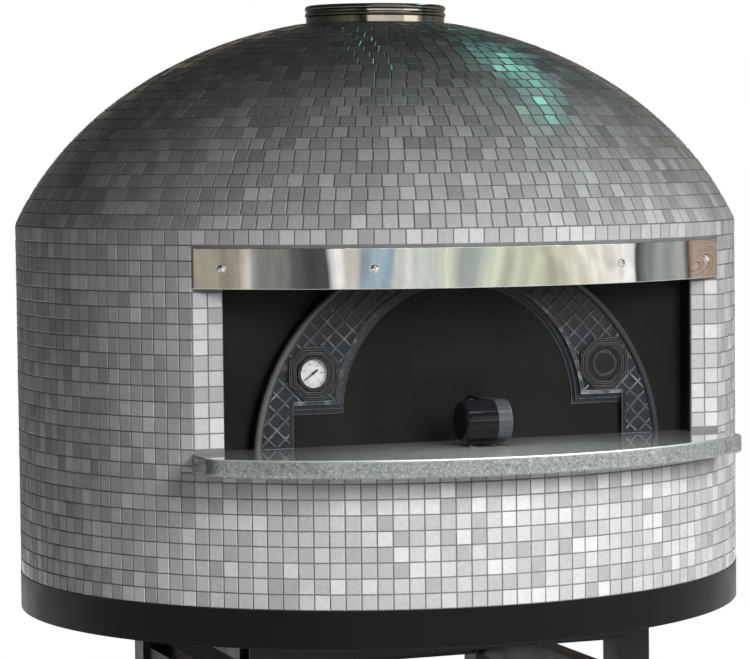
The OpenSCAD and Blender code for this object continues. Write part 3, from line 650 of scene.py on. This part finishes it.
# Edges painted pale: partly wear, partly painted highlight lines on the mouldings
dull = blend_colour(tree, edges.outputs["Mask"], dull, (0.42, 0.44, 0.47), shader)
# Painted shade: the arch is painted darker towards its top, under the band
painted_top_shade = ramp_mask(tree, iron_at["Z"], top_shade_from, top_shade_full)
dull = blend_colour(tree, painted_top_shade, dull, (0.010, 0.010, 0.011), shader)
# The rim's face is a little paler than the field; at the left it has a painted highlight
rim_face = combined(tree, outer_rim, ramp_mask(tree, iron_at["Y"], rim_foot, rim_head))
rim_highlight_left = combined(tree, rim_face, ramp_mask(tree, iron_at["X"], rim_highlight_from, rim_highlight_full))
dull = blend_colour(tree, rim_face, dull, (0.035, 0.038, 0.044), shader)
blend_colour(tree, rim_highlight_left, dull, (0.12, 0.12, 0.115), shader)
blend_colour(tree, clouds.outputs["Mask"], 0.34, 0.52, shader, "Roughness")
grain_bump(tree, shader, 700.0, 0.0008, strength=0.7, detail=5.0)
dress(iron, "arch_casting")

# Thermometer: a black case let into the left boss, with a white dial, a needle on
# its shaft, a glass and a probe that reaches into the tunnel.
gauge_black, tree, shader = start_material("gauge_black", (0.012, 0.012, 0.013), 0.3)
clouds = add_group(tree, patches, Scale=200.0, Low=0.3, High=0.7)
blend_colour(tree, clouds.outputs["Mask"], 0.24, 0.38, shader, "Roughness")
dress(gauge_black, "thermometer_case", "thermometer_bezel", "thermometer_needle")
dial_white, tree, shader = start_material("dial_white", (0.66, 0.66, 0.65), 0.45)
clouds = add_group(tree, patches, Scale=150.0, Low=0.3, High=0.8)
blend_colour(tree, clouds.outputs["Mask"], (0.70, 0.70, 0.69), (0.63, 0.625, 0.61), shader)
dress(dial_white, "thermometer_dial")
dial_lo, dial_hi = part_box("thermometer_dial")
needle_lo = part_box("thermometer_needle")[0]
dial_x, dial_z = (dial_lo.x + dial_hi.x) / 2, (dial_lo.z + dial_hi.z) / 2
dial_r = (dial_hi.x - dial_lo.x) / 2
cold_mark, sweep, print_t = 218, 270, 0.12 * mm


def flat_prints(name, shapes, y, thick, material, body):
    """Thin closed plates on the dial. A shape is a list of (x, z) from its middle."""
    points, faces = [], []
    for shape in shapes:
        n, start = len(shape), len(points)
        for depth in (0.0, thick):
            points += [(dial_x + x, y - depth, dial_z + z) for x, z in shape]
        faces.append(tuple(start + k for k in range(n))[::-1])
        faces.append(tuple(start + n + k for k in range(n)))
        faces += [(start + k, start + (k + 1) % n, start + n + (k + 1) % n, start + n + k) for k in range(n)]
    mesh = bpy.data.meshes.new(name)
    mesh.from_pydata(points, [], faces)
    mesh.materials.append(material)
    prints = add_object(name, mesh)
    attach(prints, body)


def bar(angle, inner, outer, wide_in, wide_out):
    """A radial bar, its angle in degrees from the right and anticlockwise."""
    a = math.radians(angle)
    along, across = np.array([math.cos(a), math.sin(a)]), np.array([-math.sin(a), math.cos(a)])
    ends = ((inner, -wide_in), (outer, -wide_out), (outer, wide_out), (inner, wide_in))
    return [tuple(along * r + across * w) for r, w in ends]


tick_gaps, tick_end = 50, dial_r - 1.2 * mm
figure_gaps, figures_r, figure_size = 5, dial_r - 8.6 * mm, 3.6 * mm
ticks = []
for k in range(tick_gaps + 1):
    tick_l, tick_w = (5.5 * mm, 0.45 * mm) if k % 10 == 0 else (3.6 * mm, 0.22 * mm)
    ticks.append(bar(cold_mark - sweep * k / tick_gaps, dial_r - tick_l, tick_end, tick_w, tick_w))
flat_prints("dial_ticks", ticks, dial_lo.y, print_t, gauge_black, "oven")
numbers = bpy.data.meshes.new("dial_numbers")
joined = bmesh.new()
for k in range(figure_gaps + 1):
    letters = bpy.data.curves.new("figure", "FONT")
    letters.body, letters.size, letters.extrude = str(k * 100), figure_size, print_t / 2
    letters.align_x, letters.align_y = "CENTER", "CENTER"
    figure = add_object("figure", letters)
    a = math.radians(cold_mark - sweep * k / figure_gaps)
    spot = (dial_x + figures_r * math.cos(a), dial_lo.y - print_t / 2, dial_z + figures_r * math.sin(a))
    stamp = bpy.data.meshes.new_from_object(figure)
    stamp.transform(Matrix.Translation(spot) @ Matrix.Rotation(math.pi / 2, 4, "X"))
    joined.from_mesh(stamp)
    bpy.data.objects.remove(figure)
bmesh.ops.remove_doubles(joined, verts=joined.verts, dist=1e-7)
joined.to_mesh(numbers)
numbers.materials.clear()
numbers.materials.append(gauge_black)
dial_numbers = add_object("dial_numbers", numbers)
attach(dial_numbers, "oven")
tail_l, waist_at, tip_at, blade_t = 9.5 * mm, 3 * mm, dial_r - 5.2 * mm, 0.3 * mm
tail = bar(cold_mark, -tail_l, waist_at, 1.6 * mm, 1.3 * mm)
tip = bar(cold_mark, waist_at, tip_at, 1.3 * mm, 0.5 * mm)
blade = tail[:2] + tip[1:3] + tail[2:]
flat_prints("needle_blade", [blade], needle_lo.y + 0.1 * mm, blade_t, gauge_black, "needle")
glass, tree, shader = start_material("gauge_glass", (1.0, 1.0, 1.0), 0.0, Transmission_Weight=1.0, IOR=1.15)
dress(glass, "thermometer_glass")

# Door: a painted steel sheet with an insulated box behind it, which rests in the
# arch. A D-shaped strap carries a turned black grip.
door_paint, tree, shader = start_material("door_paint", (0.012, 0.012, 0.012), 0.55, Specular_IOR_Level=0.12)
clouds = add_group(tree, patches, Scale=9.0, Low=0.35, High=0.7)
blend_colour(tree, clouds.outputs["Mask"], (0.010, 0.010, 0.010), (0.015, 0.015, 0.0145), shader)
grain_bump(tree, shader, 1200.0, 0.0002)
dress(door_paint, "door_front", "door_back")
dress(board, "door_core")
strap_steel, tree, shader = start_material("strap_steel", (0.08, 0.085, 0.095), 0.26, metallic=0.7)
edges = add_group(tree, rubbed, Radius=0.002, Reach=0.3)
blend_colour(tree, edges.outputs["Mask"], (0.075, 0.08, 0.092), (0.22, 0.225, 0.24), shader)
grain_bump(tree, shader, 500.0, 0.0003)
dress(strap_steel, "handle_strap")
grip_gloss, tree, shader = start_material("grip_gloss", (0.004, 0.004, 0.005), 0.12, Specular_IOR_Level=0.2)
smears = add_group(tree, patches, Scale=60.0, Low=0.4, High=0.8)
blend_colour(tree, smears.outputs["Mask"], 0.03, 0.09, shader, "Roughness")
dress(grip_gloss, "door_grip")

# Smoke way: a folded hood over the recess, a flat duct over the vault and the
# upright pipe, all of dull galvanised sheet.
duct_steel, tree, shader = start_material("duct_steel", (0.18, 0.18, 0.185), 0.45, metallic=0.8)
clouds = add_group(tree, patches, Scale=45.0, Low=0.35, High=0.65)
blend_colour(tree, clouds.outputs["Mask"], (0.13, 0.13, 0.135), (0.24, 0.24, 0.25), shader)
dress(duct_steel, "smoke_hood", "smoke_duct", "flue_pipe")

# Flue collar: a spun steel spigot with two rolled beads, dark and polished, that
# stands on the dome and takes the next length of flue.
collar_steel, tree, shader = start_material("collar_steel", (0.21, 0.20, 0.185), 0.12, metallic=1.0)
clouds = add_group(tree, patches, Scale=30.0, Low=0.35, High=0.7)
blend_colour(tree, clouds.outputs["Mask"], 0.08, 0.18, shader, "Roughness")
edges = add_group(tree, rubbed, Radius=0.001, Reach=0.3)
blend_colour(tree, edges.outputs["Mask"], (0.21, 0.20, 0.185), (0.34, 0.33, 0.30), shader)
dress(collar_steel, "flue_collar")

# Studio: a plain pale floor, a white surround behind it, one broad high window of
# soft light in front and weaker ones beside it and behind.
def card_mesh(name, points):
    """A mesh of one flat face."""
    mesh = bpy.data.meshes.new(name)
    mesh.from_pydata(points, [], [tuple(range(len(points)))])
    return mesh


floor_half = 14.0
square = ((-1, -1), (1, -1), (1, 1), (-1, 1))
floor_mesh = card_mesh("floor", [(x * floor_half, y * floor_half, 0) for x, y in square])
floor = add_object("floor", floor_mesh)


def looked_at(tree):
    """1 for what the camera sees straight, in a mirror or through glass, but not for
    light that comes in through the glass to the thing behind it."""
    path = node_of(tree, "ShaderNodeLightPath").outputs
    direct = node_of(tree, "ShaderNodeMath", operation="LESS_THAN")
    direct.inputs[1].default_value = 0.5
    tree.links.new(path["Diffuse Depth"], direct.inputs[0])
    through = combined(tree, path["Is Transmission Ray"], direct.outputs["Value"])
    mirrored = combined(tree, path["Is Camera Ray"], path["Is Glossy Ray"], "MAXIMUM")
    return combined(tree, mirrored, through, "MAXIMUM")


floor_pale, tree, shader = start_material("floor_pale", (0.82, 0.82, 0.81), 0.7)
place = node_of(tree, "ShaderNodeTexCoord")
away = node_of(tree, "ShaderNodeVectorMath", operation="LENGTH")
tree.links.new(place.outputs["Object"], away.inputs[0])
white_from, white_at = 1.6, 3.0
far_floor = ramp_mask(tree, away.outputs["Value"], white_from, white_at)
white_there = combined(tree, far_floor, looked_at(tree))
glow = node_of(tree, "ShaderNodeEmission")
both = node_of(tree, "ShaderNodeMixShader")
out = tree.nodes["Material Output"]
tree.links.new(white_there, both.inputs["Fac"])
tree.links.new(shader.outputs["BSDF"], both.inputs[1])
tree.links.new(glow.outputs["Emission"], both.inputs[2])
tree.links.new(both.outputs["Shader"], out.inputs["Surface"])
floor_mesh.materials.append(floor_pale)

world = bpy.data.worlds.new("studio")
bpy.context.scene.world = world
world.use_nodes = True
tree = world.node_tree
tree.nodes.clear()
soft = node_of(tree, "ShaderNodeBackground", Color=(0.95, 0.97, 1.0, 1.0), Strength=0.03)
white = node_of(tree, "ShaderNodeBackground", Color=(1.0, 1.0, 1.0, 1.0), Strength=1.0)
both = node_of(tree, "ShaderNodeMixShader")
out = node_of(tree, "ShaderNodeOutputWorld")
tree.links.new(looked_at(tree), both.inputs["Fac"])
tree.links.new(soft.outputs["Background"], both.inputs[1])
tree.links.new(white.outputs["Background"], both.inputs[2])
tree.links.new(both.outputs["Shader"], out.inputs["Surface"])

# Room walls that only mirrors and glazes see: what stands round a real oven. The
# colours go round it from the left, behind, through the front to the right.
wall_r, wall_h, wall_parts = 7.5, 4.4, 180
wall_mesh = bpy.data.meshes.new("room_wall")
turns = [math.tau * k / wall_parts for k in range(wall_parts)]
ringed = [(wall_r * math.sin(a), -wall_r * math.cos(a)) for a in turns]
wall_points = [(x, y, z) for z in (0.0, wall_h) for x, y in ringed]
beside = [(k, (k + 1) % wall_parts) for k in range(wall_parts)]
wall_mesh.from_pydata(wall_points, [], [(k, j, wall_parts + j, wall_parts + k) for k, j in beside])
room_wall = add_object("room_wall", wall_mesh)
lid_mesh = card_mesh("room_ceiling", [(x, y, wall_h) for x, y in ringed])
room_ceiling = add_object("room_ceiling", lid_mesh)
wall_colours = [
    (-180, (0.16, 0.16, 0.16)),
    (-110, (0.09, 0.09, 0.09)),
    (-80, (0.24, 0.23, 0.19)),
    (-74, (0.37, 0.34, 0.27)),
    (-59.5, (0.33, 0.31, 0.25)),
    (-58.6, (0.78, 0.76, 0.68)),
    (-56.8, (0.74, 0.74, 0.68)),
    (-56.0, (0.27, 0.28, 0.26)),
    (-46.5, (0.22, 0.23, 0.22)),
    (-44.5, (0.10, 0.105, 0.10)),
    (-33.0, (0.085, 0.088, 0.09)),
    (-32.0, (1.0, 1.0, 0.99)),
    (-29.0, (0.92, 0.92, 0.90)),
    (-28.3, (0.70, 0.69, 0.63)),
    (-25.3, (0.78, 0.76, 0.68)),
    (-24.3, (0.37, 0.47, 0.55)),
    (-15.3, (0.38, 0.50, 0.59)),
    (-14.5, (0.95, 0.95, 0.92)),
    (-12.6, (0.84, 0.86, 0.84)),
    (-4.0, (0.60, 0.65, 0.63)),
    (2.5, (0.76, 0.79, 0.66)),
    (8.0, (0.44, 0.51, 0.51)),
    (15.0, (0.70, 0.76, 0.60)),
    (36.0, (0.64, 0.64, 0.50)),
    (45.0, (0.98, 0.95, 0.84)),
    (63.5, (1.0, 1.0, 0.98)),
    (64.5, (0.07, 0.07, 0.075)),
    (71.0, (0.30, 0.33, 0.32)),
    (90.0, (0.46, 0.48, 0.46)),
    (92.5, (0.06, 0.05, 0.045)),
    (95.0, (0.44, 0.34, 0.28)),
    (130.0, (0.26, 0.22, 0.18)),
]


def glowing(name, strength=1.0, colour=(1.0, 1.0, 1.0)):
    """A material that only glows. Returns (material, tree, emission node)."""
    material = bpy.data.materials.new(name)
    material.use_nodes = True
    tree = material.node_tree
    tree.nodes.clear()
    glow = node_of(tree, "ShaderNodeEmission", Color=(*colour, 1.0), Strength=strength)
    out = node_of(tree, "ShaderNodeOutputMaterial")
    tree.links.new(glow.outputs["Emission"], out.inputs["Surface"])
    return material, tree, glow


wall_look, tree, glow = glowing("room_colours")
place = node_of(tree, "ShaderNodeTexCoord")
turned = node_of(tree, "ShaderNodeMath", operation="ARCTAN2")
back = node_of(tree, "ShaderNodeMath", operation="MULTIPLY")
back.inputs[1].default_value = -1.0
round_it = node_of(tree, "ShaderNodeMapRange")
round_it.inputs["From Min"].default_value = -math.pi
round_it.inputs["From Max"].default_value = math.pi
tall = node_of(tree, "ShaderNodeMapping")
tall.inputs["Scale"].default_value = (1.6, 1.6, 1.2)
uneven = node_of(tree, "ShaderNodeTexNoise", Scale=1.0, Detail=3.0)
strong = node_of(tree, "ShaderNodeMapRange")
for socket, value in (("From Min", 0.3), ("From Max", 0.7), ("To Min", 0.72), ("To Max", 1.18)):
    strong.inputs[socket].default_value = value
tree.links.new(place.outputs["Object"], tall.inputs["Vector"])
tree.links.new(tall.outputs["Vector"], uneven.inputs["Vector"])
tree.links.new(uneven.outputs["Fac"], strong.inputs["Value"])
# Slats of wood to the far right: slanting stripes, narrow in height and long in width
wood_from = 93.5
grain_of = node_of(tree, "ShaderNodeMapping")
grain_of.inputs["Scale"].default_value = (0.0, 0.8, 30.0)
slats = node_of(tree, "ShaderNodeTexWave", Scale=1.0, Distortion=2.5, Detail=1.0, bands_direction="DIAGONAL")
in_wood = node_of(tree, "ShaderNodeMath", operation="GREATER_THAN")
in_wood.inputs[1].default_value = (wood_from + 180) / 360
slat_depth = node_of(tree, "ShaderNodeMapRange")
slat_depth.inputs["To Min"].default_value = 1.7
slat_depth.inputs["To Max"].default_value = 0.45
by_slat = node_of(tree, "ShaderNodeMix", data_type="FLOAT")
tree.links.new(place.outputs["Object"], grain_of.inputs["Vector"])
tree.links.new(grain_of.outputs["Vector"], slats.inputs["Vector"])
tree.links.new(slats.outputs["Fac"], slat_depth.inputs["Value"])
tree.links.new(round_it.outputs["Result"], in_wood.inputs[0])
tree.links.new(in_wood.outputs["Value"], by_slat.inputs[0])
tree.links.new(strong.outputs["Result"], by_slat.inputs[2])
tree.links.new(slat_depth.outputs["Result"], by_slat.inputs[3])
tree.links.new(by_slat.outputs[0], glow.inputs["Strength"])
wall_at = axes_of(tree, place.outputs["Object"])
tree.links.new(wall_at["Y"], back.inputs[0])
tree.links.new(wall_at["X"], turned.inputs[0])
tree.links.new(back.outputs["Value"], turned.inputs[1])
tree.links.new(turned.outputs["Value"], round_it.inputs["Value"])
by_angle = colour_ramp(tree, round_it.outputs["Result"], [((at + 180) / 360, c) for at, c in wall_colours])
tree.links.new(by_angle, glow.inputs["Color"])
wall_mesh.materials.append(wall_look)
lid_mesh.materials.append(glowing("ceiling_grey", colour=(0.06, 0.062, 0.065))[0])


def glowing_pane(name, points, colour, strength):
    """A glowing pane that only the glazes and mirrors see."""
    mesh = card_mesh(name, points)
    pane = add_object(name, mesh)
    mesh.materials.append(glowing(name, strength, colour)[0])
    return pane


sea_green, lamp_white, sky_cream = (0.35, 1.0, 0.85), (1.0, 0.98, 0.95), (1.0, 0.99, 0.86)
pane_z = wall_h - 0.05
panes = []
for name, x0, y0, x1, y1, colour, strength in (
    ("skylight", 1.85, 0.0, 2.2, 2.9, sea_green, 7.0),
    ("ceiling_lamps", -1.2, -3.5, 1.46, -2.3, lamp_white, 2.2),
    ("side_lamps", 1.66, -3.5, 2.4, -2.3, lamp_white, 2.2),
    ("long_lamp", -1.6, -2.9, 1.48, -2.8, lamp_white, 28.0),
    ("side_lamp", 1.62, -2.9, 2.8, -2.8, lamp_white, 28.0),
):
    points = [(x, y, pane_z) for x, y in ((x0, y0), (x1, y0), (x1, y1), (x0, y1))]
    panes.append(glowing_pane(name, points, colour, strength))
fan_r, fan_low, fan_high = 7.2, 1.95, 2.75
for name, first, last, strength in (("fanlight_left", -31, 26, 2.6), ("fanlight_right", 28, 56, 4.5)):
    ends = [(fan_r * math.sin(a), -fan_r * math.cos(a)) for a in (math.radians(first), math.radians(last))]
    points = [(*end, fan_low) for end in ends] + [(*end, fan_high) for end in ends[::-1]]
    panes.append(glowing_pane(name, points, sky_cream, strength))

for card in (room_wall, room_ceiling, *panes):
    card.visible_camera = False
    card.visible_diffuse = False
    card.visible_shadow = False
    card.visible_transmission = False
    card.visible_volume_scatter = False


def soft_window(name, azimuth, reach, z, aim_z, wide, high, watts, mirrored=False):
    """A soft area lamp at that azimuth from -Y toward +X, aimed at the oven's axis."""
    data = bpy.data.lights.new(name, "AREA")
    data.shape = "RECTANGLE"
    data.size, data.size_y, data.energy = wide, high, watts
    lamp = add_object(name, data)
    a = math.radians(azimuth)
    lamp.location = (reach * math.sin(a), -reach * math.cos(a), z)
    toward = Vector((0, 0, aim_z)) - lamp.location
    lamp.rotation_euler = toward.to_track_quat("-Z", "Y").to_euler()
    lamp.visible_camera = False
    lamp.visible_glossy = mirrored


window_at = 14
soft_window("front_window", window_at, reach=5.6, z=3.5, aim_z=1.3, wide=2.0, high=2.4, watts=390)

# A flag like a doorway's head hangs before that window, so the dome gets less of it
flag_half, flag_low, flag_high, flag_reach = 2.5, 1.95, 4.2, 1.6
flag_foot = [(-flag_half, 0, flag_low), (flag_half, 0, flag_low)]
flag_head = [(flag_half, 0, flag_high), (-flag_half, 0, flag_high)]
flag = add_object("flag", card_mesh("flag", flag_foot + flag_head))
flag_at = math.radians(window_at)
flag.location = (flag_reach * math.sin(flag_at), -flag_reach * math.cos(flag_at), 0)
flag.rotation_euler = (0, 0, flag_at)
flag.visible_camera = False
flag.visible_diffuse = False
flag.visible_glossy = False
flag.visible_transmission = False
soft_window("high_window", 30, reach=5.5, z=3.4, aim_z=1.3, wide=2.0, high=1.5, watts=8, mirrored=True)
soft_window("back_window", 178, reach=5.0, z=1.8, aim_z=1.3, wide=3.0, high=2.0, watts=60)

# A slim strip in the roof of the recess keeps the sill and the arch from going black
strip = bpy.data.lights.new("mouth_strip", "AREA")
strip.shape = "RECTANGLE"
strip.size, strip.size_y, strip.energy = 0.45, 0.05, 4.5
strip_lamp = add_object("mouth_strip", strip)
strip_lamp.location = (0, -0.60, 1.40)
strip_lamp.rotation_euler = (math.radians(-40), 0, 0)
strip_lamp.visible_camera = False
strip_lamp.visible_glossy = False
